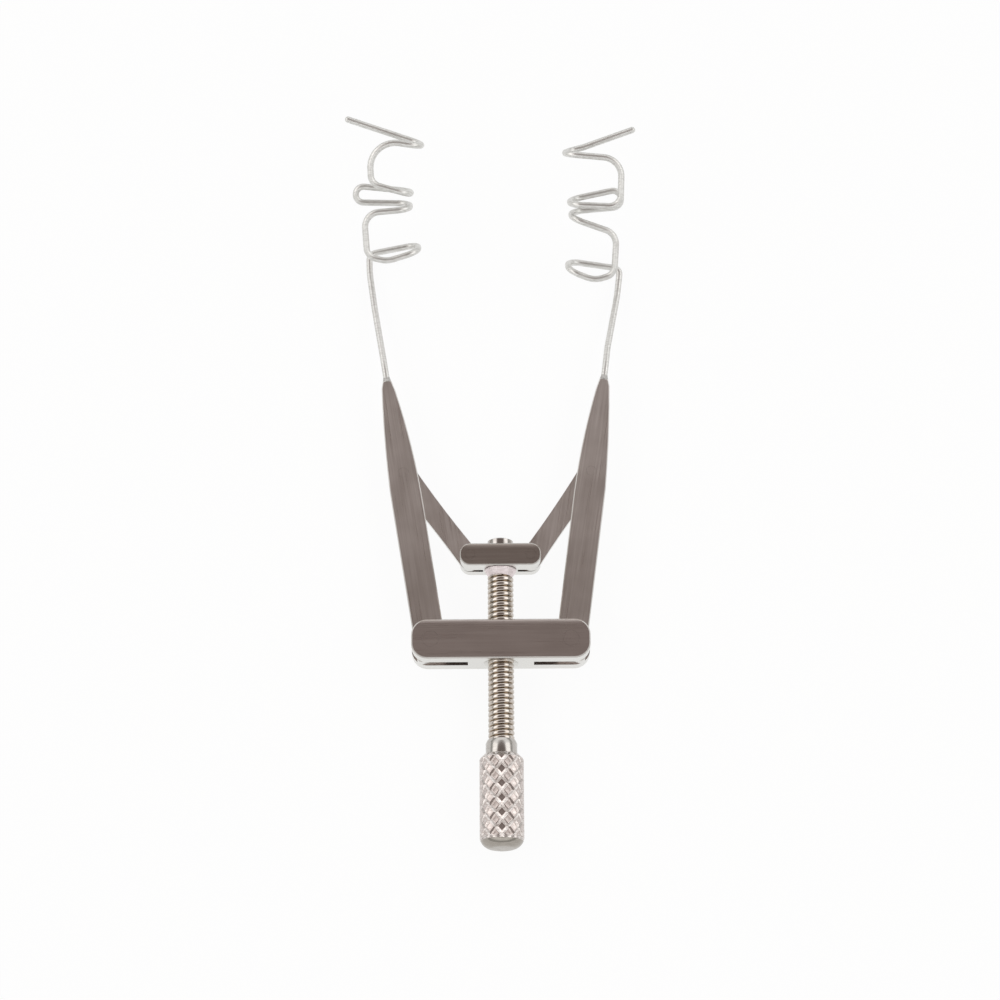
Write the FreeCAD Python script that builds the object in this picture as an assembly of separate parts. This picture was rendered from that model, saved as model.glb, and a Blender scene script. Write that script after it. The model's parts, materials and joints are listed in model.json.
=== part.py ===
import FreeCAD, Part
import math
import os
from FreeCAD import Vector

# Adjustable eye speculum, in millimetres, at rest: open to the width of the photograph.
# X is across the instrument, Y runs along the screw towards the blades, and Z points from the
# instrument's back, on which it lies, to the side that faces the eye.
# The origin is the centre of the lower crossbar's back face.

# Lower crossbar: the square bar that the arms hinge in and the screw is threaded through
crossbar_length = 17.85
crossbar_depth = 4.05
crossbar_thick = 4.1
crossbar_corner = 1.6
crossbar_edge_break = 0.12
arm_slot_end = 3.3
arm_pin_inset = 1.925
tapped_hole_mouth_radius = 1.75
tapped_hole_mouth_depth = 0.42

# Upper crossbar: the small bar that travels on the end of the screw
yoke_length = 8.15
yoke_depth = 2.3
yoke_thick = 3.48
yoke_corner = 1.05
yoke_edge_break = 0.1
yoke_y = 8.92
link_slot_end = 1.75
link_pin_inset = 1.025

# Arms: flat plates that taper to the tips, measured outwards from the pivot.
# The pair is hand-fitted and leans a little to the left, so each has its own angle at rest.
arm_thick = 1.05
arm_tilt_deg = {"left": 8.8, "right": 7.2}
arm_root_inner = 1.48
arm_root_outer = 1.6
arm_heel = 1.8
arm_heel_corner = 0.5
arm_inner_knee = 14.3
arm_inner_hollow = 0.23
arm_outer_knee = 16.6
arm_outer_swell = 0.08
arm_outer_belly = 1.38
arm_length = 28.45
tip_inner = 0.24
tip_outer = 0.62
tip_inner_shoulder = 0.5
tip_inner_shoulder_back = 1.15
tip_outer_shoulder = 0.86
tip_outer_shoulder_back = 0.75
arm_bevel = 0.1
rivet_reach = 18.28

# Links: thin waisted plates between the arms and the upper crossbar
link_thick = 0.5
link_pin_end_radius = 1.12
link_arm_radius = 1.25
link_waist = 2.1

# Hinge pins, ground flush, and rivets with countersunk heads
arm_pin_radius = 0.8
link_pin_radius = 0.5
rivet_radius = 0.5
rivet_head_radius = 0.72
rivet_head_height = 0.18

# Screw, with the collar and the cap that hold its journal in the upper crossbar
screw_radius = 1.31
journal_radius = 0.8
collar_radius = 1.6
collar_rim = 0.12
collar_nose_radius = 1.15
collar_length = 0.8
cap_radius = 1.28
cap_rim = 0.62
cap_height = 1.0
screw_exposed = 7.95

# Thumb knob
neck_radius = 1.56
neck_length = 1.5
neck_lead = 0.35
neck_lead_radius = 1.4
knob_radius = 2.2
knob_length = 9.4
knob_shoulder = 0.45
knob_end_radius = 1.2
knob_bore_depth = 6.0

# Wire blades: each is one length of round wire, soldered into the arm's tip
wire_diameter = 0.66
wire_seat_depth = 2.4
wire_lead = 1.9
wire_lead_bend = 6.0
tip_hole_offset = 0.19
blade_tilt_deg = 37.0
hook_depth = 3.2
solder_radius = 0.46
solder_length = 0.5

# Bends of each shank past its straight lead: outwards, ahead and up from the arm's tip, and the
# bend's radius
shank_bends = {
    "left": [(1.36, 8.5, -1.2, 14.0), (1.96, 12.9, -1.75, 6.0)],
    "right": [(0.45, 3.7, -0.3, 6.0), (1.6, 10.0, -1.5, 10.0)],
}

# Where each blade's plane starts: ahead of and above the arm's tip
blade_start = {"left": (14.66, -1.87), "right": (12.5, -1.87)}

# Bends of each blade: outwards from the arm's tip, along the blade, the side of the lid that the
# wire runs on, and the bend's radius. The wire hooks round the lid's edge four times.
SKIN = 0.0
LID = hook_depth
blade_bends = {
    "left": [
        (2.0, 0.5, SKIN, 0.8), (-3.15, 1.5, SKIN, 1.3), (-3.15, 1.5, LID, 1.3), (0.05, 0.5, LID, 2.5),
        (2.1, 1.0, LID, 1.2), (2.35, 5.6, LID, 1.6), (-2.35, 6.0, LID, 1.3), (-2.35, 5.9, SKIN, 1.3),
        (3.4, 6.05, SKIN, 0.82), (3.2, 7.8, SKIN, 0.82), (-2.45, 7.2, SKIN, 1.3), (-2.45, 7.55, LID, 1.3),
        (1.55, 8.7, LID, 1.2), (1.7, 13.45, LID, 2.6), (-3.6, 12.6, LID, 1.3), (-3.6, 12.2, SKIN, 1.3),
        (3.95, 14.8, SKIN, 0),
    ],
    "right": [
        (1.95, 0.7, SKIN, 0.7), (-3.5, 1.55, SKIN, 1.3), (-3.5, 1.35, LID, 1.3), (-0.8, 0.25, LID, 2.5),
        (1.25, 0.9, LID, 1.2), (1.45, 5.2, LID, 1.6), (-3.15, 6.85, LID, 1.3), (-3.15, 6.85, SKIN, 1.3),
        (2.1, 7.3, SKIN, 0.9), (1.9, 9.2, SKIN, 0.85), (-3.3, 8.1, SKIN, 1.3), (-3.3, 8.3, LID, 1.3),
        (1.85, 8.05, LID, 1.2), (1.95, 13.05, LID, 2.0), (-3.8, 13.6, LID, 1.3), (-3.8, 13.15, SKIN, 1.3),
        (-1.95, 13.6, SKIN, 3.0), (3.1, 15.4, SKIN, 0),
    ],
}

# Clearances: running fits turn or slide, press fits hold. The links' holes on the upper crossbar's
# pins are larger, and set back along the link, for the linkage's play.
running_gap = 0.03
side_gap = 0.04
press_gap = 0.01
link_hole_gap = 0.165
link_hole_setback = 0.124
link_hole_sidestep = 0.038

# Travel from rest, which the arms' recesses leave room for
arm_close_deg = 7.8
arm_open_deg = 7.0
link_turn_per_arm_turn = 1.935

# Values worked out from the sizes above
mid_z = crossbar_thick / 2
arm_pivot_x = crossbar_length / 2 - arm_pin_inset
link_pin_x = yoke_length / 2 - link_pin_inset
wire_radius = wire_diameter / 2
section_area = math.pi * wire_radius ** 2
blade_tilt = math.radians(blade_tilt_deg)
arm_z = mid_z - arm_thick / 2
yoke_z = mid_z - yoke_thick / 2
collar_y = yoke_y - yoke_depth / 2 - side_gap
cap_y = yoke_y + yoke_depth / 2 + side_gap
knob_top_y = -crossbar_depth / 2 - screw_exposed
knob_body_y = knob_top_y - neck_length
knob_end_y = knob_body_y - knob_length

os.makedirs("parts", exist_ok=True)


def save(name, shape):
    """Write one finished piece to its own file and print what it is."""
    shape.exportStep("parts/" + name + ".step")
    print(name, "solids", len(shape.Solids), "volume", round(shape.Volume, 3), "valid", shape.isValid())


def mirrored(shape):
    """The same piece on the other side of the instrument."""
    return shape.mirror(Vector(0, 0, 0), Vector(1, 0, 0))


def plate(edges, low, height):
    """A flat plate of the outline that the edges make."""
    wire = Part.Wire(Part.__sortEdges__([edge.toShape() for edge in edges]))
    base = Part.Face(wire)
    base.translate(Vector(0, 0, low))
    return base.extrude(Vector(0, 0, height))


def turned(points):
    """A round piece about the screw's axis, from (y, radius) points of its profile."""
    ring = [Vector(0, y, radius) for y, radius in points]
    profile = Part.Face(Part.makePolygon(ring + [ring[0]]))
    solid = profile.revolve(Vector(0, 0, 0), Vector(0, 1, 0), 360)
    solid.translate(Vector(0, 0, mid_z))
    return solid


def upright_pin(radius, x, y, low, high):
    """A plain round pin that stands along Z."""
    return Part.makeCylinder(radius, high - low, Vector(x, y, low), Vector(0, 0, 1))


def rounded_bar(length, depth, thick, corner, edge_break, low):
    """A bar with rounded ends and its long face edges broken."""
    bar = Part.makeBox(length, depth, thick, Vector(-length / 2, -depth / 2, low))
    upright = [e for e in bar.Edges if abs(e.BoundBox.ZLength - thick) < 1e-6]
    bar = bar.makeFillet(corner, upright)
    level = [e for e in bar.Edges if e.BoundBox.ZLength < 1e-6]
    return bar.makeChamfer(edge_break, level)


def end_slot(inner_end, length, depth, low, height):
    """The saw cut in a bar's right end, open at the end and at both long sides."""
    spare = 1.0
    reach = length / 2 - inner_end + spare
    return Part.makeBox(reach, depth + 2 * spare, height, Vector(inner_end, -depth / 2 - spare, low))


class Side:
    """One side's linkage at rest, worked out for the right and mirrored for the left."""

    def __init__(self, name):
        self.name = name
        self.tilt = math.radians(arm_tilt_deg[name])
        self.along = Vector(math.sin(self.tilt), math.cos(self.tilt), 0)
        self.outwards = Vector(math.cos(self.tilt), -math.sin(self.tilt), 0)
        self.rivet = self.in_arm(rivet_reach, 0)
        self.link_pin = Vector(link_pin_x, yoke_y, 0)
        span = self.rivet - self.link_pin
        self.link_length = span.Length
        self.link_tilt = math.atan2(span.x, span.y)
        self.wire_exit = self.in_arm(arm_length, tip_hole_offset) + Vector(0, 0, mid_z)

    def in_arm(self, reach, side):
        """A point in the arm: how far along it from the pivot, and how far outwards."""
        return Vector(arm_pivot_x, 0, 0) + self.along * reach + self.outwards * side

    def placed(self, shape):
        """The piece on this side of the instrument."""
        return shape if self.name == "right" else mirrored(shape)


def arm_outline(side):
    """An arm's outline: square heel, long straight flanks, curved shoulders and a narrow tip."""
    inner, outer = arm_root_inner, arm_root_outer
    inner_shoulder_y = arm_length - tip_inner_shoulder_back
    outer_shoulder_y = arm_length - tip_outer_shoulder_back
    inner_knee = side.in_arm(arm_inner_knee, -inner)
    inner_mid = side.in_arm((arm_inner_knee + inner_shoulder_y) / 2, arm_inner_hollow - inner)
    inner_end = side.in_arm(inner_shoulder_y, -tip_inner_shoulder)
    outer_knee = side.in_arm(arm_outer_knee, outer + arm_outer_swell)
    outer_mid = side.in_arm((arm_outer_knee + outer_shoulder_y) / 2, arm_outer_belly)
    outer_end = side.in_arm(outer_shoulder_y, tip_outer_shoulder)
    tip_in = side.in_arm(arm_length, -tip_inner)
    tip_out = side.in_arm(arm_length, tip_outer)
    corner = arm_heel_corner
    cut = corner * (1 - math.sqrt(0.5))
    flanks = [
        Part.Arc(side.in_arm(corner - arm_heel, outer), side.in_arm(cut - arm_heel, outer - cut),
                 side.in_arm(-arm_heel, outer - corner)),
        Part.LineSegment(side.in_arm(-arm_heel, outer - corner), side.in_arm(-arm_heel, corner - inner)),
        Part.Arc(side.in_arm(-arm_heel, corner - inner), side.in_arm(cut - arm_heel, cut - inner),
                 side.in_arm(corner - arm_heel, -inner)),
        Part.LineSegment(side.in_arm(corner - arm_heel, -inner), inner_knee),
        Part.LineSegment(outer_knee, side.in_arm(corner - arm_heel, outer)),
    ]
    tip = [
        Part.Arc(inner_knee, inner_mid, inner_end),
        Part.LineSegment(inner_end, tip_in),
        Part.LineSegment(tip_in, tip_out),
        Part.LineSegment(tip_out, outer_end),
        Part.Arc(outer_end, outer_mid, outer_knee),
    ]
    return flanks, tip


def link_outline(side, tilt, gap):
    """A link's outline at an angle about its rivet, grown by a gap for the arm's recess."""
    towards_pin = Vector(-math.sin(tilt), -math.cos(tilt), 0)
    sideways = Vector(-towards_pin.y, towards_pin.x, 0)
    arm_end = link_arm_radius + gap
    pin_end = link_pin_end_radius + gap
    waist = link_waist / 2 + gap
    length = side.link_length

    def at(reach, offset):
        return side.rivet + towards_pin * reach + sideways * offset

    return [
        Part.Arc(at(0, arm_end), at(-arm_end, 0), at(0, -arm_end)),
        Part.Arc(at(0, -arm_end), at(length / 2, -waist), at(length, -pin_end)),
        Part.Arc(at(length, -pin_end), at(length + pin_end, 0), at(length, pin_end)),
        Part.Arc(at(length, pin_end), at(length / 2, waist), at(0, arm_end)),
    ]


def bent_path(corners):
    """Straight runs joined by tangent arcs: each corner is a point and the radius of its bend."""
    edges = []
    start = corners[0][0]
    for index in range(1, len(corners) - 1):
        point, radius = corners[index]
        before = (corners[index - 1][0] - point).normalize()
        after = (corners[index + 1][0] - point).normalize()
        half = before.getAngle(after) / 2
        cut = radius / math.tan(half)
        middle = (before + after).normalize()
        bend_in = point + before * cut
        bend_out = point + after * cut
        bend_mid = point + middle * (radius / math.sin(half) - radius)
        edges.append(Part.LineSegment(start, bend_in).toShape())
        edges.append(Part.Arc(bend_in, bend_mid, bend_out).toShape())
        start = bend_out
    edges.append(Part.LineSegment(start, corners[-1][0]).toShape())
    return Part.Wire(edges)


def round_wire(corners):
    """Round wire of one thickness along a bent path, with a smooth free end."""
    start = corners[0][0]
    section = Part.Wire([Part.makeCircle(wire_radius, start, corners[1][0] - start)])
    path = bent_path(corners)
    wire = path.makePipeShell([section], True, False)
    print("wire length", round(path.Length, 2), "volume ratio", wire.Volume / (path.Length * section_area))
    return wire.fuse(Part.makeSphere(wire_radius, corners[-1][0])).removeSplitter()


# Lower crossbar
arm_gap_height = arm_thick + 2 * side_gap
arm_gap_low = arm_z - side_gap
bar = rounded_bar(crossbar_length, crossbar_depth, crossbar_thick, crossbar_corner, crossbar_edge_break, 0)
slot = end_slot(arm_slot_end, crossbar_length, crossbar_depth, arm_gap_low, arm_gap_height)
pin_hole = upright_pin(arm_pin_radius + press_gap, arm_pivot_x, 0, -1, crossbar_thick + 1)
for cut in (slot, pin_hole):
    bar = bar.cut(cut).cut(mirrored(cut))
hole_radius = screw_radius + running_gap
face_y = crossbar_depth / 2
throat_y = face_y - tapped_hole_mouth_depth
beyond_y = face_y + tapped_hole_mouth_depth
beyond_radius = 2 * tapped_hole_mouth_radius - hole_radius
tapped_hole = turned([
    (-beyond_y, 0), (-beyond_y, beyond_radius), (-throat_y, hole_radius),
    (throat_y, hole_radius), (beyond_y, beyond_radius), (beyond_y, 0),
])
save("lower_crossbar", bar.cut(tapped_hole))

arm_pin = upright_pin(arm_pin_radius, arm_pivot_x, 0, 0, crossbar_thick)
save("arm_pivot_pin_right", arm_pin)
save("arm_pivot_pin_left", mirrored(arm_pin))

# Upper crossbar
link_z = arm_z
link_gap_height = link_thick + 2 * side_gap
yoke = rounded_bar(yoke_length, yoke_depth, yoke_thick, yoke_corner, yoke_edge_break, yoke_z)
slot = end_slot(link_slot_end, yoke_length, yoke_depth, link_z - side_gap, link_gap_height)
pin_hole = upright_pin(link_pin_radius + press_gap, link_pin_x, 0, yoke_z - 1, yoke_z + yoke_thick + 1)
for cut in (slot, pin_hole):
    yoke = yoke.cut(cut).cut(mirrored(cut))
yoke.translate(Vector(0, yoke_y, 0))
journal_hole = turned([(0, 0), (0, journal_radius + running_gap),
                       (2 * yoke_y, journal_radius + running_gap), (2 * yoke_y, 0)])
save("upper_crossbar", yoke.cut(journal_hole))

link_pin = upright_pin(link_pin_radius, link_pin_x, yoke_y, yoke_z, yoke_z + yoke_thick)
save("link_pin_right", link_pin)
save("link_pin_left", mirrored(link_pin))


# Screw: the threaded spindle, whose plain journal turns in the upper crossbar
screw_start_y = collar_y - collar_length
journal_end_y = cap_y + cap_rim
knob_seat_y = knob_top_y - knob_bore_depth
save("adjusting_screw", turned([
    (knob_seat_y, 0), (knob_seat_y, screw_radius), (screw_start_y, screw_radius),
    (screw_start_y, journal_radius), (journal_end_y, journal_radius), (journal_end_y, 0),
]))

# Thrust collar: fixed on the journal, and the shoulder that pushes the upper crossbar
collar_bore = journal_radius + press_gap
save("thrust_collar", turned([
    (screw_start_y, collar_bore), (screw_start_y, collar_nose_radius), (collar_y - collar_rim, collar_radius),
    (collar_y, collar_radius), (collar_y, collar_bore),
]))

# End cap: riveted over the journal's end, and pulls the upper crossbar back
dome_height = cap_height - cap_rim
dome_round = (cap_radius ** 2 + dome_height ** 2) / (2 * dome_height)
cap = turned([
    (cap_y, 0), (cap_y, cap_radius), (cap_y + cap_height, cap_radius), (cap_y + cap_height, 0),
])
dome_centre = Vector(0, cap_y + cap_height - dome_round, mid_z)
cap = cap.common(Part.makeSphere(dome_round, dome_centre))
cap_bore = turned([
    (cap_y - 1, 0), (cap_y - 1, journal_radius + press_gap),
    (journal_end_y, journal_radius + press_gap), (journal_end_y, 0),
])
save("end_cap", cap.cut(cap_bore))

# Thumb knob: plain neck, shouldered grip and a rounded end, pressed on the screw
grip_edge = neck_radius + (knob_radius - neck_radius) * 0.35
knob = turned([
    (knob_top_y, 0), (knob_top_y, neck_lead_radius), (knob_top_y - neck_lead, neck_radius),
    (knob_body_y, neck_radius), (knob_body_y, grip_edge), (knob_body_y - knob_shoulder, knob_radius),
    (knob_end_y, knob_radius), (knob_end_y, 0),
])
end_rim = [edge for edge in knob.Edges if edge.BoundBox.YMax < knob_end_y + 1e-6
           and edge.BoundBox.ZLength > knob_radius]
knob = knob.makeFillet(knob_end_radius, end_rim)
knob_bore = turned([
    (knob_seat_y, 0), (knob_seat_y, screw_radius + press_gap),
    (knob_top_y + 1, screw_radius + press_gap), (knob_top_y + 1, 0),
])
save("thumb_knob", knob.cut(knob_bore))

# Arms, links, rivets, wire blades and solder, one side at a time
for name in ("left", "right"):
    side = Side(name)

    flanks, tip = arm_outline(side)
    arm = plate(flanks + tip, arm_z, arm_thick)
    shoulders = [edge for edge in arm.Edges if edge.BoundBox.ZLength < 1e-6
                 and edge.BoundBox.YMax > side.in_arm(arm_outer_knee, 0).y + 1]
    arm = arm.makeChamfer(arm_bevel, shoulders)
    link_open = side.link_tilt + math.radians(arm_open_deg * (link_turn_per_arm_turn - 1))
    link_close = side.link_tilt - math.radians(arm_close_deg * (link_turn_per_arm_turn - 1))
    recess_height = link_thick + side_gap
    for tilt in (link_open, link_close):
        arm = arm.cut(plate(link_outline(side, tilt, side_gap), arm_z - 1, recess_height + 1))
    arm = arm.cut(upright_pin(arm_pin_radius + running_gap, arm_pivot_x, 0, -1, crossbar_thick + 1))
    rivet_hole = upright_pin(rivet_radius + press_gap, side.rivet.x, side.rivet.y, -1, crossbar_thick + 1)
    wire_hole = Part.makeCylinder(wire_radius + press_gap, wire_seat_depth, side.wire_exit, side.along * -1)
    save("arm_" + name, side.placed(arm.cut(rivet_hole).cut(wire_hole)))

    link = plate(link_outline(side, side.link_tilt, 0), arm_z, link_thick)
    towards_pin = (side.link_pin - side.rivet).normalize()
    sideways = Vector(-towards_pin.y, towards_pin.x, 0)
    pin_centre = side.link_pin + towards_pin * link_hole_setback - sideways * link_hole_sidestep
    pin_hole = upright_pin(link_pin_radius + link_hole_gap, pin_centre.x, pin_centre.y, -1, crossbar_thick + 1)
    rivet_hole = upright_pin(rivet_radius + running_gap, side.rivet.x, side.rivet.y, -1, crossbar_thick + 1)
    countersink = Part.makeCone(rivet_head_radius + running_gap, rivet_radius + running_gap, rivet_head_height,
                                Vector(side.rivet.x, side.rivet.y, arm_z), Vector(0, 0, 1))
    save("link_" + name, side.placed(link.cut(pin_hole).cut(rivet_hole).cut(countersink)))

    rivet = upright_pin(rivet_radius, side.rivet.x, side.rivet.y, arm_z, arm_z + arm_thick)
    head = Part.makeCone(rivet_head_radius, rivet_radius, rivet_head_height,
                         Vector(side.rivet.x, side.rivet.y, arm_z), Vector(0, 0, 1))
    save("link_rivet_" + name, side.placed(rivet.fuse(head).removeSplitter()))

    tip_point = side.wire_exit
    ahead, up = blade_start[name]
    corners = [(tip_point - side.along * wire_seat_depth, 0)]
    corners.append((tip_point + side.along * wire_lead, wire_lead_bend))
    corners += [(tip_point + Vector(x, y, z), radius) for x, y, z, radius in shank_bends[name]]
    for x, reach, height, radius in blade_bends[name]:
        y = ahead + reach * math.cos(blade_tilt) - height * math.sin(blade_tilt)
        z = up + reach * math.sin(blade_tilt) + height * math.cos(blade_tilt)
        corners.append((tip_point + Vector(x, y, z), radius))
    save("wire_blade_" + name, side.placed(round_wire(corners)))

    fillet = Part.makeCone(solder_radius, wire_radius + press_gap, solder_length, tip_point, side.along)
    wire_bore = Part.makeCylinder(wire_radius + press_gap, 2 * solder_length, tip_point, side.along)
    save("solder_" + name, side.placed(fillet.cut(wire_bore)))
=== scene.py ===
import json
import math

import bmesh
import bpy
from mathutils import Matrix, Vector


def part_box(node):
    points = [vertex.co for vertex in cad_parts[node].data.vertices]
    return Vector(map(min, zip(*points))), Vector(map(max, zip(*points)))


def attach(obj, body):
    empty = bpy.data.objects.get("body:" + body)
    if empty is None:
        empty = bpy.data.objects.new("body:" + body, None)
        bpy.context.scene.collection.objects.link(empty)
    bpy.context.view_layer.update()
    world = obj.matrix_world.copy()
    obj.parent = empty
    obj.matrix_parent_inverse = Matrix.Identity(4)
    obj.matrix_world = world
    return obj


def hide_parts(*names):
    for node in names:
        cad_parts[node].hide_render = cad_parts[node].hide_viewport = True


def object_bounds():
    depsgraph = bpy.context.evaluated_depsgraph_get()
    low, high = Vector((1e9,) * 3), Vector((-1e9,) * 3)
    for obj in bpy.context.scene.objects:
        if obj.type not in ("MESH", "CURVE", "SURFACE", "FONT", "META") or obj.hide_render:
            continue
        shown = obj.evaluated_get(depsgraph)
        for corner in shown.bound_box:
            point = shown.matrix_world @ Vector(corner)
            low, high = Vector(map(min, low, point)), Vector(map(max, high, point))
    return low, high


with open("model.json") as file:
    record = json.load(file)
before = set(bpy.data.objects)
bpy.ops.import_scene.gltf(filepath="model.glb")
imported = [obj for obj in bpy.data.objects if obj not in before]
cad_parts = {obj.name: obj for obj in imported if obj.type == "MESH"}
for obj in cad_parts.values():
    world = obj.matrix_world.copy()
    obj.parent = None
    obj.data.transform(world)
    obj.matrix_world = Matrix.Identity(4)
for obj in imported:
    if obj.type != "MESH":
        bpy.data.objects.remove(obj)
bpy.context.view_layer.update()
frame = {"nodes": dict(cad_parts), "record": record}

MM = 0.001
nodes = frame["nodes"]

# The photograph's camera
# It looks down on the instrument from the knob's side, 71 degrees above the floor, and is turned
# a little, so that the instrument leans to the left in the picture.
camera_distance = 320 * MM
camera_elevation = math.radians(71.0)
camera_roll = math.radians(-0.35)
picture_centre_y = 15.23 * MM
bar_low, bar_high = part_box("lower_crossbar")
mid_height = (bar_low.z + bar_high.z) / 2
camera_target = Vector((0, picture_centre_y, mid_height))
camera_side = Vector((0, -math.cos(camera_elevation), math.sin(camera_elevation)))
camera_data = bpy.data.cameras.new("camera")
camera_data.sensor_width = 36
camera_data.lens = 113.4
camera_data.clip_start = 0.01
camera = bpy.data.objects.new("camera", camera_data)
bpy.context.scene.collection.objects.link(camera)
turn = (-camera_side).to_track_quat("-Z", "Y").to_matrix() @ Matrix.Rotation(camera_roll, 3, "Z")
camera.matrix_world = Matrix.Translation(camera_target + camera_side * camera_distance) @ turn.to_4x4()
bpy.context.scene.camera = camera


# Crossbars
# Two bars of stainless steel, milled and slotted. Their broad faces are brushed lengthwise on a
# belt, and their sides and broken edges are painted bright, a painted reflection of the bright floor.
# The pins are ground flush and brushed over.
def srgb(code):
    """A colour written as sRGB hex, as the linear values that a shader takes."""
    parts = [int(code[i:i + 2], 16) / 255 for i in (1, 3, 5)]
    linear = [c / 12.92 if c <= 0.04045 else ((c + 0.055) / 1.055) ** 2.4 for c in parts]
    return (*linear, 1.0)


def add_node(tree, kind, settings=(), **inputs):
    """A node of this kind: settings are its properties, inputs are values or other nodes' sockets."""
    node = tree.nodes.new(kind)
    for name, value in dict(settings).items():
        setattr(node, name, value)
    for name, value in inputs.items():
        key = int(name[1:]) if name[0] == "i" and name[1:].isdigit() else name.replace("_", " ")
        if isinstance(value, bpy.types.NodeSocket):
            tree.links.new(value, node.inputs[key])
        else:
            node.inputs[key].default_value = value
    return node


def ramp_stops(node, stops):
    """Sets a colour ramp's stops from (place, colour) pairs."""
    ramp = node.color_ramp
    while len(ramp.elements) > 1:
        ramp.elements.remove(ramp.elements[-1])
    ramp.elements[0].position, ramp.elements[0].color = stops[0]
    for place, colour in stops[1:]:
        ramp.elements.new(place).color = colour


def brushed_plate(name, face_dark, face_light, grain_angle=0.0, back_edge=None, reflection_span=None):
    """Belt-brushed stainless plate: the grain runs at an angle from X, and the sides are painted
    brighter, a painted reflection of the bright floor.
    Where the face's back edge is given, the belt has rounded the last of the face off towards it.
    Where two places along Y are given, the face is painted paler from the first to the second, as a
    painted reflection."""
    side_highlight_colour = "#E0DFDB"
    mottle_and_reflection_colour = "#F2ECE8"
    grain_length = 7 * MM
    grain_width = 0.15 * MM
    grain_share = 0.35
    grain_strength = 0.03
    grain_depth = 0.02 * MM
    mottle_size = 4 * MM
    mottle_share = 0.65
    reflection_at_full = 0.21
    roughness = 0.30
    roughness_spread = 0.03
    side_slope = 0.55
    face_slope = 0.9
    rounding_width = 0.8 * MM
    rounding_fall = 0.09 * MM
    material = bpy.data.materials.new(name)
    material.use_nodes = True
    tree = material.node_tree
    shader = tree.nodes["Principled BSDF"]
    place = add_node(tree, "ShaderNodeTexCoord")
    along = add_node(tree, "ShaderNodeMapping", Vector=place.outputs["Object"],
                     Rotation=(0, 0, -grain_angle))
    grain_frame = add_node(tree, "ShaderNodeMapping", Vector=along.outputs[0],
                           Scale=(1 / grain_length, 1 / grain_width, 1 / grain_width))
    grain = add_node(tree, "ShaderNodeTexNoise", Vector=grain_frame.outputs[0], Scale=1.0, Detail=3.0)
    mottle = add_node(tree, "ShaderNodeTexNoise", Vector=place.outputs["Object"],
                      Scale=1 / mottle_size, Detail=2.0)
    grain_part = add_node(tree, "ShaderNodeMath", {"operation": "MULTIPLY"}, i0=grain.outputs[0],
                          i1=grain_share)
    tone = add_node(tree, "ShaderNodeMath", {"operation": "MULTIPLY_ADD"}, i0=mottle.outputs[0],
                    i1=mottle_share, i2=grain_part.outputs[0])
    spot = add_node(tree, "ShaderNodeSeparateXYZ", Vector=place.outputs["Object"])
    # Painted reflection: the face grows paler along Y between the two given places, up to the ramp's
    # palest stop, which the random mottle also reaches.
    if reflection_span:
        reflection_share = add_node(tree, "ShaderNodeMapRange", Value=spot.outputs["Y"], From_Min=reflection_span[0],
                        From_Max=reflection_span[1], To_Max=reflection_at_full)
        tone = add_node(tree, "ShaderNodeMath", {"operation": "ADD"}, i0=tone.outputs[0],
                        i1=reflection_share.outputs[0])
    colours = add_node(tree, "ShaderNodeValToRGB", Fac=tone.outputs[0])
    ramp_stops(colours, [(0.36, srgb(face_dark)), (0.64, srgb(face_light)), (0.94, srgb(mottle_and_reflection_colour))])
    facing = add_node(tree, "ShaderNodeSeparateXYZ", Vector=place.outputs["Normal"])
    upright = add_node(tree, "ShaderNodeMath", {"operation": "ABSOLUTE"}, i0=facing.outputs["Z"])
    broad = add_node(tree, "ShaderNodeMapRange", Value=upright.outputs[0], From_Min=side_slope,
                     From_Max=face_slope)
    # Painted reflection: faces that lean away from Z take the pale side colour in place of the bright
    # floor they would reflect.
    base = add_node(tree, "ShaderNodeMix", {"data_type": "RGBA"}, i0=broad.outputs[0],
                    i6=srgb(side_highlight_colour), i7=colours.outputs[0])
    rough = add_node(tree, "ShaderNodeMapRange", Value=grain.outputs[0], From_Min=0.3, From_Max=0.7,
                     To_Min=roughness - roughness_spread, To_Max=roughness + roughness_spread)
    bump = add_node(tree, "ShaderNodeBump", Height=grain.outputs[0], Strength=grain_strength,
                    Distance=grain_depth)
    if back_edge is not None:
        near_edge = add_node(tree, "ShaderNodeMapRange", Value=spot.outputs["Y"],
                             From_Min=back_edge - rounding_width, From_Max=back_edge)
        fall = add_node(tree, "ShaderNodeMath", {"operation": "POWER"}, i0=near_edge.outputs[0], i1=3.0)
        rounded = add_node(tree, "ShaderNodeBump", {"invert": True}, Height=fall.outputs[0],
                           Strength=1.0, Distance=rounding_fall)
        tree.links.new(rounded.outputs[0], bump.inputs["Normal"])
    tree.links.new(base.outputs[2], shader.inputs["Base Color"])
    tree.links.new(rough.outputs[0], shader.inputs["Roughness"])
    tree.links.new(bump.outputs[0], shader.inputs["Normal"])
    shader.inputs["Metallic"].default_value = 1.0
    return material


def dress(node, material):
    """Gives a CAD piece its finish."""
    mesh = nodes[node].data
    mesh.materials.clear()
    mesh.materials.append(material)


# The bars and arms are one steel. Their face tones are painted light and shade: the upper bar's darker
# tones are painted shade, and the arms' paler tones are painted reflection.
lower_bar_steel = brushed_plate("brushed_stainless_lower_bar", "#BDB3AE", "#C6BCB7",
                                back_edge=bar_high.y)
for node in ("lower_crossbar", "arm_pivot_pin_left", "arm_pivot_pin_right"):
    dress(node, lower_bar_steel)
upper_bar_steel = brushed_plate("brushed_stainless_upper_bar", "#A49A93", "#AEA49D",
                                back_edge=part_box("upper_crossbar")[1].y)
for node in ("upper_crossbar", "link_pin_left", "link_pin_right"):
    dress(node, upper_bar_steel)

# Arms and links
# Flat stainless plate. The grain follows the arms' length, which leans outwards on each side, and
# the plate is painted paler towards the blades, as a painted reflection.
grain_lean = math.atan2(2.8, 18.1)
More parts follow.
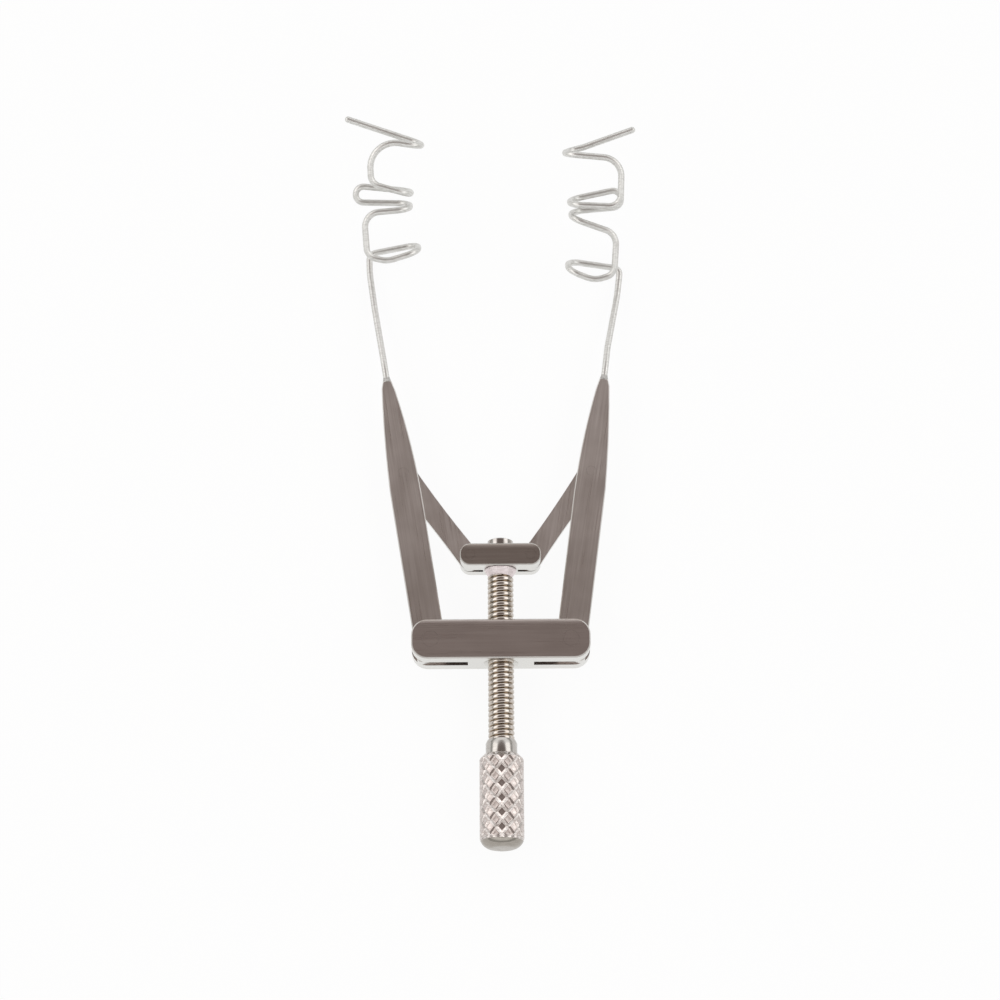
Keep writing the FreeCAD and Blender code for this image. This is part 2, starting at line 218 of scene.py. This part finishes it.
# The arms are painted paler from here towards the blades, as a painted reflection.
reflection_from = 2 * MM
reflection_to = 16 * MM
for side, sign in (("left", -1), ("right", 1)):
    # The arms' face tones, paler than the bars', are painted reflection.
    arm_steel = brushed_plate("brushed_stainless_arm_" + side, "#C6BEB8", "#D9D2CD",
                              grain_angle=math.pi / 2 - sign * grain_lean, reflection_span=(reflection_from, reflection_to))
    for node in ("arm_" + side, "link_rivet_" + side, "link_" + side):
        dress(node, arm_steel)


# Screw
# A stainless spindle with a fine right-hand thread, cut square at both ends. Its plain journal turns
# in the upper crossbar, and its lower end is fixed in the knob.
def new_piece(name, bm, body, stands_for, material, sharp_angle=35):
    """A finished mesh as a piece of the instrument that moves with a body."""
    bmesh.ops.recalc_face_normals(bm, faces=bm.faces[:])
    for face in bm.faces:
        face.smooth = True
    mesh = bpy.data.meshes.new(name)
    bm.to_mesh(mesh)
    bm.free()
    mesh.set_sharp_from_angle(angle=math.radians(sharp_angle))
    mesh.materials.append(material)
    piece = bpy.data.objects.new(name, mesh)
    bpy.context.scene.collection.objects.link(piece)
    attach(piece, body)
    if stands_for:
        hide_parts(*stands_for)
    return piece


def turned_steel(name, colour, ring_colour, roughness):
    """Stainless steel turned on a lathe: fine rings round the screw's axis, in two tones."""
    ring_pitch = 0.12 * MM
    ring_length = 0.6 * MM
    roughness_spread = 0.05
    material = bpy.data.materials.new(name)
    material.use_nodes = True
    tree = material.node_tree
    shader = tree.nodes["Principled BSDF"]
    place = add_node(tree, "ShaderNodeTexCoord")
    rings_frame = add_node(tree, "ShaderNodeMapping", Vector=place.outputs["Object"],
                           Scale=(1 / ring_length, 1 / ring_pitch, 1 / ring_length))
    rings = add_node(tree, "ShaderNodeTexNoise", Vector=rings_frame.outputs[0], Scale=1.0, Detail=2.0)
    colours = add_node(tree, "ShaderNodeValToRGB", Fac=rings.outputs[0])
    ramp_stops(colours, [(0.3, srgb(ring_colour)), (0.6, srgb(colour))])
    rough = add_node(tree, "ShaderNodeMapRange", Value=rings.outputs[0], From_Min=0.3, From_Max=0.7,
                     To_Min=roughness + roughness_spread, To_Max=roughness - roughness_spread)
    tree.links.new(colours.outputs[0], shader.inputs["Base Color"])
    tree.links.new(rough.outputs[0], shader.inputs["Roughness"])
    shader.inputs["Metallic"].default_value = 1.0
    return material


def tone_by_radius(material, start, end, colour):
    """Gives a turned piece another tone by distance from the screw's axis, none at start and full
    at end."""
    tree = material.node_tree
    base = tree.nodes["Principled BSDF"].inputs["Base Color"]
    place = add_node(tree, "ShaderNodeTexCoord")
    from_axis = add_node(tree, "ShaderNodeMapping", Vector=place.outputs["Object"],
                         Location=(0, 0, -mid_height), Scale=(1, 0, 1))
    radius = add_node(tree, "ShaderNodeVectorMath", {"operation": "LENGTH"}, i0=from_axis.outputs[0])
    share = add_node(tree, "ShaderNodeMapRange", Value=radius.outputs["Value"], From_Min=start,
                     From_Max=end)
    tone = add_node(tree, "ShaderNodeMix", {"data_type": "RGBA"}, i0=share.outputs[0],
                    i6=base.links[0].from_socket, i7=srgb(colour))
    tree.links.new(tone.outputs[2], base)


def cut_across(bm, y, beyond=0):
    """Cuts a mesh square to the screw's axis. A side beyond the cut, 1 or -1 along Y, is taken off."""
    bmesh.ops.bisect_plane(bm, geom=bm.verts[:] + bm.edges[:] + bm.faces[:], dist=weld_distance,
                           plane_co=(0, y, 0), plane_no=(0, beyond or 1, 0), clear_outer=beyond != 0)


def close_end(bm, y):
    """Closes the open rim that a cut has left at a place along the screw's axis."""
    rim = [edge for edge in bm.edges if edge.is_boundary
           and all(abs(vert.co.y - y) < rim_tolerance for vert in edge.verts)]
    bmesh.ops.contextual_create(bm, geom=rim)


weld_distance = 1e-7
rim_tolerance = 1e-6
turn_weld_distance = 0.002 * MM
along_screw = math.radians(90)
couplings = {c["joint"]: c["ratio"] for c in frame["record"]["behaviour"]["couplings"]}
thread_pitch = 2 * math.pi / couplings["knob_turn"]
screw_low, screw_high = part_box("adjusting_screw")
crest_radius = (screw_high.x - screw_low.x) / 2
journal_radius = 0.8 * MM
thread_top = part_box("thrust_collar")[0].y
thread_depth = 0.17 * MM
root_radius = crest_radius - thread_depth
groove_shade_start = 0.02 * MM
groove_shade_full = 0.12 * MM
steps_per_turn = 36
journal_segments = 48
turns = math.ceil((thread_top - screw_low.y) / thread_pitch) + 2
thread_profile = [(0.0, 0.0), (0.10, 0.4), (0.20, 0.80), (0.30, 0.96), (0.50, 1.0), (0.70, 0.96),
                  (0.80, 0.80), (0.90, 0.4), (1.0, 0.0)]
bm = bmesh.new()
thread_start = screw_low.y - thread_pitch
profile_verts = [bm.verts.new((0, thread_start + share * thread_pitch,
                               mid_height + root_radius + rise * thread_depth))
                 for share, rise in thread_profile]
profile_edges = [bm.edges.new(pair) for pair in zip(profile_verts, profile_verts[1:])]
bmesh.ops.spin(bm, geom=profile_verts + profile_edges, cent=(0, 0, mid_height), axis=(0, 1, 0),
               dvec=(0, thread_pitch / steps_per_turn, 0), angle=2 * math.pi * turns,
               steps=steps_per_turn * turns, use_merge=False, use_duplicate=False)
bmesh.ops.remove_doubles(bm, verts=bm.verts[:], dist=turn_weld_distance)
for cut_y, beyond in ((screw_low.y, -1), (thread_top, 1)):
    cut_across(bm, cut_y, beyond)
    close_end(bm, cut_y)
journal = bmesh.ops.create_cone(bm, segments=journal_segments, radius1=journal_radius,
                                radius2=journal_radius, depth=screw_high.y - thread_top, cap_ends=True)
bmesh.ops.rotate(bm, verts=journal["verts"], cent=(0, 0, 0),
                 matrix=Matrix.Rotation(along_screw, 3, "X"))
bmesh.ops.translate(bm, verts=journal["verts"],
                    vec=(0, (screw_high.y + thread_top) / 2, mid_height))
thread_steel = turned_steel("thread_cut_stainless", "#CEC7C0", "#BBB1A7", 0.12)
# Painted shade: the thread is painted darker brown towards its roots, where the flanks shade one another.
tone_by_radius(thread_steel, crest_radius - groove_shade_start, crest_radius - groove_shade_full, "#A69887")
new_piece("screw_thread", bm, "screw", ["adjusting_screw"], thread_steel)

# Thrust collar and end cap
# Two small turned rings on the journal. The collar's cone is left satin, and the cap is riveted over
# and polished.
satin_steel = turned_steel("satin_turned_stainless", "#F0E6E7", "#E8DEDE", 0.55)
dress("thrust_collar", satin_steel)
bright_steel = turned_steel("bright_turned_stainless", "#BEB9B5", "#B0ABA6", 0.16)
dress("end_cap", bright_steel)

# Thumb knob
# Turned from stainless bar: a plain neck, a barrel with a coarse diamond knurl rolled into it, and a
# plain rounded end. The neck's piece goes on inside the barrel as its core.
knob_low, knob_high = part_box("thumb_knob")
knob_radius = (knob_high.x - knob_low.x) / 2
neck_length = 1.5 * MM
neck_radius = 1.56 * MM
neck_lead = 0.35 * MM
neck_lead_radius = 1.4 * MM
core_radius = 1.55 * MM
end_radius = 1.2 * MM
shoulder_length = 0.45 * MM
shoulder_radius = 1.78 * MM
knurl_columns = 11
knurl_rows = 7
knurl_pitch = 1.455 * MM
knurl_depth = 0.1 * MM
knurl_flank = 0.185 * MM
knurl_pit = 0.04 * MM
knurl_edge_break = 0.03 * MM
knurl_lead = 0.3675 * MM
land_tone_start = 0.035 * MM
land_tone_full = 0.02 * MM
barrel_top = knob_high.y - neck_length
dome_start = knob_low.y + end_radius
groove_radius = knob_radius - knurl_depth
knurl_start = barrel_top + knurl_lead
knurl_length = knurl_rows * knurl_pitch
knurl_end = dome_start - math.sqrt(end_radius ** 2 - (end_radius - knurl_depth) ** 2)


def set_radius(vert, radius):
    """Moves a point straight in or out, to a distance from the screw's axis."""
    away = Vector((vert.co.x, 0, vert.co.z - mid_height)).normalized() * radius
    vert.co = Vector((away.x, vert.co.y, mid_height + away.z))


def knob_outline(y):
    """The radius of the plain knob at a place along its barrel."""
    if y > barrel_top - shoulder_length:
        share = (y - barrel_top + shoulder_length) / shoulder_length
        return knob_radius + (shoulder_radius - knob_radius) * share
    if y < dome_start:
        return knob_radius - end_radius + math.sqrt(max(0, end_radius ** 2 - (dome_start - y) ** 2))
    return knob_radius


bm = bmesh.new()
barrel_place = Matrix.Translation((0, knurl_start - knurl_length / 2, mid_height))
bmesh.ops.create_cone(bm, segments=knurl_columns, radius1=groove_radius, radius2=groove_radius,
                      depth=knurl_length, cap_ends=False,
                      matrix=barrel_place @ Matrix.Rotation(along_screw, 4, "X"))
lengthwise = [edge for edge in bm.edges if abs(edge.verts[0].co.y - edge.verts[1].co.y) > MM]
bmesh.ops.subdivide_edges(bm, edges=lengthwise, cuts=knurl_rows - 1)
inner_edges = [edge for edge in bm.edges if not edge.is_boundary]
bmesh.ops.poke(bm, faces=bm.faces[:])
bmesh.ops.dissolve_edges(bm, edges=inner_edges, use_verts=False)
for vert in bm.verts:
    set_radius(vert, groove_radius)
lands = bm.faces[:]
bmesh.ops.inset_individual(bm, faces=lands, thickness=knurl_flank, use_even_offset=True)
for face in lands:
    for vert in face.verts:
        set_radius(vert, knob_radius)
land_edges = list(dict.fromkeys(edge for face in lands for edge in face.edges))
centres = bmesh.ops.poke(bm, faces=lands)["verts"]
for vert in centres:
    set_radius(vert, knob_radius - knurl_pit)
bmesh.ops.bevel(bm, geom=land_edges, offset=knurl_edge_break, segments=2, profile=0.5,
                affect="EDGES", material=-1)
cut_across(bm, knurl_end, -1)
cut_across(bm, barrel_top, 1)
for cut_y in (barrel_top - shoulder_length, dome_start, (dome_start + knurl_end) / 2):
    cut_across(bm, cut_y)
bmesh.ops.subdivide_edges(bm, edges=bm.edges[:], cuts=1, use_grid_fill=True)
for vert in bm.verts:
    away = Vector((vert.co.x, 0, vert.co.z - mid_height)).length
    if vert.co.y > barrel_top - shoulder_length:
        set_radius(vert, away * knob_outline(vert.co.y) / knob_radius)
    elif vert.co.y < dome_start:
        set_radius(vert, min(away, knob_outline(vert.co.y)))
close_end(bm, knurl_end)
close_end(bm, barrel_top)
knurled_steel = turned_steel("knurled_stainless", "#DFD9D5", "#B5ACA7", 0.26)
tone_by_radius(knurled_steel, knob_radius - land_tone_start, knob_radius - land_tone_full, "#C9BEB9")
new_piece("knob_knurl", bm, "screw", [], knurled_steel, sharp_angle=12)


def lathe(profile, segments=72):
    """A closed turned shape about the screw's axis from (y, radius) points, both ends on the axis."""
    bm = bmesh.new()
    verts = [bm.verts.new((0, y, mid_height + radius)) for y, radius in profile]
    edges = [bm.edges.new(pair) for pair in zip(verts, verts[1:])]
    bmesh.ops.spin(bm, geom=verts + edges, cent=(0, 0, mid_height), axis=(0, 1, 0), angle=2 * math.pi,
                   steps=segments, use_merge=True)
    bmesh.ops.remove_doubles(bm, verts=bm.verts[:], dist=weld_distance)
    return bm


dome_end_angle = math.acos((dome_start - knurl_end) / end_radius)
dome_steps = 12
end_overlap = 0.1 * MM
neck_overlap = 0.1 * MM
core_gap = 0.1 * MM
dome = []
for step in range(dome_steps + 1):
    angle = dome_end_angle * step / dome_steps
    dome.append((dome_start - end_radius * math.cos(angle),
                 knob_radius - end_radius + end_radius * math.sin(angle)))
# Painted shade: the rounded end is painted a darker grey than the neck's turned steel.
shaded_knob_end_steel = turned_steel("shaded_turned_stainless", "#A8A29A", "#9F9991", 0.2)
end_top = knurl_end + end_overlap
profile = [(knob_low.y, 0.0)] + dome + [(end_top, core_radius), (end_top, 0.0)]
new_piece("knob_end", lathe(profile), "screw", [], shaded_knob_end_steel)
turned_knob_steel = turned_steel("turned_stainless_knob", "#BEBAB5", "#B4AFAA", 0.16)
core_low = end_top + core_gap
neck_low = barrel_top - neck_overlap
profile = [(core_low, 0.0), (core_low, core_radius), (neck_low, core_radius), (neck_low, neck_radius),
           (knob_high.y - neck_lead, neck_radius), (knob_high.y, neck_lead_radius), (knob_high.y, 0.0)]
new_piece("knob_neck", lathe(profile), "screw", ["thumb_knob"], turned_knob_steel)

# Wire blades
# One length of round stainless wire on each side, bent by hand over pins. Its light polish gives it
# soft bright streaks between grey edges.
wire_steel = turned_steel("polished_stainless_wire", "#E0DFDC", "#CFCECA", 0.42)
for node in ("wire_blade_left", "wire_blade_right"):
    dress(node, wire_steel)

# Solder
# Silver solder round each wire where it enters the arm's tip, left dull and pale grey.
solder = turned_steel("dull_silver_solder", "#C8C6C3", "#A6A3A0", 0.45)
for node in ("solder_left", "solder_right"):
    dress(node, solder)

# Floor and light
# A white sheet under a light tent: a softbox at each side, a bright ring half-way up, a dimmer
# horizon, and a dark patch overhead where the camera stands, which the flat faces reflect.
floor_size = 1.2
floor_glow_share = 0.93
bm = bmesh.new()
bmesh.ops.create_grid(bm, x_segments=1, y_segments=1, size=floor_size)
floor_mesh = bpy.data.meshes.new("floor")
bm.to_mesh(floor_mesh)
bm.free()
floor_mesh.transform(Matrix.Translation((0, 0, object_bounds()[0].z)))
floor = bpy.data.objects.new("floor", floor_mesh)
bpy.context.scene.collection.objects.link(floor)
white_sheet = bpy.data.materials.new("white_sheet")
white_sheet.use_nodes = True
tree = white_sheet.node_tree
tree.nodes.clear()
ray = add_node(tree, "ShaderNodeLightPath")
seen = add_node(tree, "ShaderNodeMath", {"operation": "MAXIMUM"}, i0=ray.outputs["Is Camera Ray"],
                i1=ray.outputs["Is Glossy Ray"])
seen = add_node(tree, "ShaderNodeMath", {"operation": "MAXIMUM"}, i0=seen.outputs[0],
                i1=ray.outputs["Is Transmission Ray"])
share = add_node(tree, "ShaderNodeMath", {"operation": "MULTIPLY"}, i0=seen.outputs[0],
                 i1=floor_glow_share)
paper = add_node(tree, "ShaderNodeBsdfDiffuse", Color=srgb("#F4F4F4"))
glow = add_node(tree, "ShaderNodeEmission", Color=(1, 1, 1, 1), Strength=1.0)
mix = add_node(tree, "ShaderNodeMixShader", i0=share.outputs[0], i1=paper.outputs[0],
               i2=glow.outputs[0])
add_node(tree, "ShaderNodeOutputMaterial", Surface=mix.outputs[0])
floor_mesh.materials.append(white_sheet)

below = (0.8, 0.8, 0.8, 1)
horizon = (0.42, 0.42, 0.41, 1)
bright_ring = (1, 1, 1, 1)
ring_to_overhead = (0.28, 0.25, 0.24, 1)
overhead = (0.19, 0.16, 0.15, 1)
world_strength = 1.25
world = bpy.data.worlds.new("light_tent")
world.use_nodes = True
bpy.context.scene.world = world
tree = world.node_tree
tree.nodes.clear()
way = add_node(tree, "ShaderNodeTexCoord")
parts = add_node(tree, "ShaderNodeSeparateXYZ", Vector=way.outputs["Generated"])
height = add_node(tree, "ShaderNodeMapRange", Value=parts.outputs["Z"], From_Min=-1.0, From_Max=1.0)
tent = add_node(tree, "ShaderNodeValToRGB", Fac=height.outputs[0])
ramp_stops(tent, [(0.0, below), (0.44, below), (0.5, horizon), (0.63, horizon), (0.71, bright_ring),
                  (0.85, bright_ring), (0.905, ring_to_overhead), (0.94, overhead), (1.0, overhead)])
lit = add_node(tree, "ShaderNodeBackground", Color=tent.outputs[0], Strength=world_strength)
add_node(tree, "ShaderNodeOutputWorld", Surface=lit.outputs[0])

softbox_distance = 0.45
softbox_angle = math.radians(51)
softbox_size = (0.33, 0.55)
softbox_power = 0.35
for name, side, colour in (("softbox_left", -1, "#FFFAF7"), ("softbox_right", 1, "#FFFDFB")):
    lamp = bpy.data.lights.new(name, "AREA")
    lamp.shape = "RECTANGLE"
    lamp.size, lamp.size_y = softbox_size
    lamp.energy = softbox_power
    lamp.color = srgb(colour)[:3]
    softbox = bpy.data.objects.new(name, lamp)
    bpy.context.scene.collection.objects.link(softbox)
    tilt = Matrix.Rotation(side * softbox_angle, 4, "Y")
    aim = tilt @ Vector((0, 0, 1))
    softbox.matrix_world = Matrix.Translation(camera_target + aim * softbox_distance) @ tilt

bpy.context.scene.view_settings.view_transform = "Standard"
